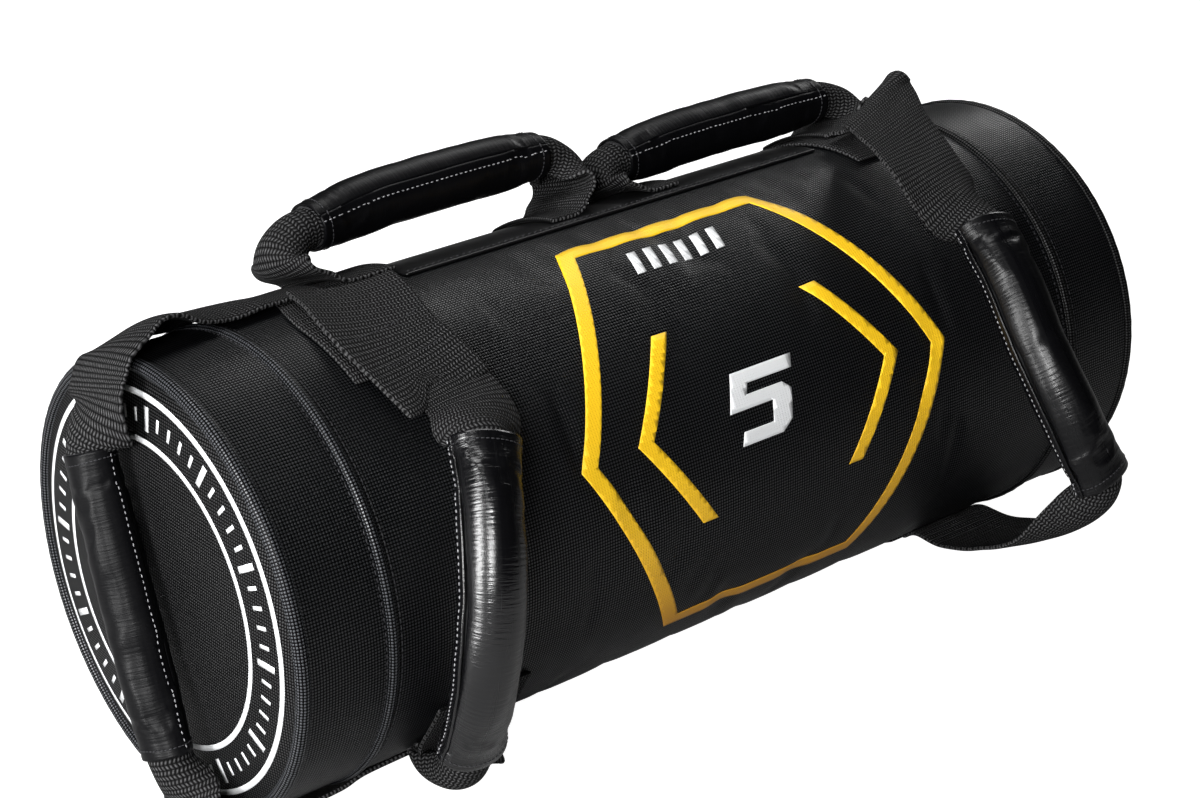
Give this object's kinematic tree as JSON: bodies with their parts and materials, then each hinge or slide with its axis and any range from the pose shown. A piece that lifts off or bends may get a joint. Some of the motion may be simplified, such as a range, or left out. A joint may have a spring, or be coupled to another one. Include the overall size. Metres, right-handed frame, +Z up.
{
  "type": "sandbag trainer",
  "caption": "Round filled training bag lying on its side, in black coated canvas with piped ends, with padded webbing handles along its spine, across its front and across its ends.",
  "frame": {"origin": "on the floor under the bag's axis, at mid-length, in the middle of the flat that the filled barrel rests on", "axes": "+X along the bag's axis towards the end with the freer front handle, -Y towards the printed front, +Z up"},
  "size_m": [0.5625, 0.2772, 0.2347],
  "materials": {
    "pvc_canvas": "satin coated canvas with a fine embossed weave",
    "end_canvas": "satin coated canvas with a plain printed ring pattern",
    "piping_vinyl": "satin vinyl piping",
    "smooth_vinyl": "smooth satin vinyl",
    "webbing": "matte woven",
    "grip_leather": "glossy soft leather",
    "foam": "matte closed-cell foam",
    "grip_foam": "matte black closed-cell foam",
    "pouch_nylon": "matte woven nylon",
    "sand": "loose dry sand",
    "tie_plastic": "matte"
  },
  "bodies": {
    "bag": {"barrel_shell": "pvc_canvas", "spine_panel": "smooth_vinyl", "left_band": "webbing", "right_band": "webbing", "left_band_patch": "webbing", "left_cap_welt": "piping_vinyl", "left_cap_wall": "pvc_canvas", "left_rim_piping": "piping_vinyl", "left_end_disc": "end_canvas", "left_end_pad": "foam", "right_cap_welt": "piping_vinyl", "right_cap_wall": "pvc_canvas", "right_rim_piping": "piping_vinyl", "right_end_disc": "end_canvas", "right_end_pad": "foam", "foam_wrap_outer": "foam", "foam_wrap_inner": "foam", "sand_pouch": "pouch_nylon", "sand_fill": "sand", "pouch_tie": "tie_plastic"},
    "left_top_handle": {"left_top_handle_sleeve": "grip_leather", "left_top_handle_core": "grip_foam", "left_top_handle_strap": "webbing"},
    "right_top_handle": {"right_top_handle_sleeve": "grip_leather", "right_top_handle_core": "grip_foam", "right_top_handle_strap": "webbing"},
    "left_side_handle": {"left_side_handle_sleeve": "grip_leather", "left_side_handle_core": "grip_foam", "left_side_handle_strap": "webbing"},
    "right_side_handle": {"right_side_handle_sleeve": "grip_leather", "right_side_handle_core": "grip_foam", "right_side_handle_strap": "webbing"},
    "left_end_handle": {"left_end_handle_sleeve": "grip_leather", "left_end_handle_core": "grip_foam", "left_end_handle_strap": "webbing"},
    "right_end_handle": {"right_end_handle_sleeve": "grip_leather", "right_end_handle_core": "grip_foam", "right_end_handle_strap": "webbing"}
  },
  "joints": [
    {"name": "left_top_handle_swing", "type": "hinge", "parent": "bag", "child": "left_top_handle", "pos_m": [-0.073, 0.041, 0.1952], "axis": [1, 0, 0], "range_deg": [-55, 55], "stiffness_Nm_per_rad": 0.5, "deforming": ["left_top_handle_strap"]},
    {"name": "right_top_handle_swing", "type": "hinge", "parent": "bag", "child": "right_top_handle", "pos_m": [0.101, 0.041, 0.1952], "axis": [1, 0, 0], "range_deg": [-38, 38], "stiffness_Nm_per_rad": 0.5, "deforming": ["right_top_handle_strap"]},
    {"name": "left_side_handle_swing", "type": "hinge", "parent": "bag", "child": "left_side_handle", "pos_m": [-0.142, -0.065, 0.0985], "axis": [0, 0, 1], "range_deg": [-12, 62], "stiffness_Nm_per_rad": 0.6, "deforming": ["left_side_handle_strap"]},
    {"name": "right_side_handle_swing", "type": "hinge", "parent": "bag", "child": "right_side_handle", "pos_m": [0.166, -0.065, 0.0985], "axis": [0, 0, 1], "range_deg": [-20, 45], "stiffness_Nm_per_rad": 0.6, "deforming": ["right_side_handle_strap"]},
    {"name": "left_end_handle_pull", "type": "slide", "parent": "bag", "child": "left_end_handle", "axis": [-1, 0, 0], "range_m": [0, 0.03], "stiffness_N_per_m": 80, "deforming": ["left_end_handle_strap"]},
    {"name": "right_end_handle_swing", "type": "hinge", "parent": "bag", "child": "right_end_handle", "pos_m": [0.2535, 0, 0.0985], "axis": [0, 0.3907, 0.9205], "range_deg": [-30, 30], "stiffness_Nm_per_rad": 0.5, "deforming": ["right_end_handle_strap"]}
  ]
}
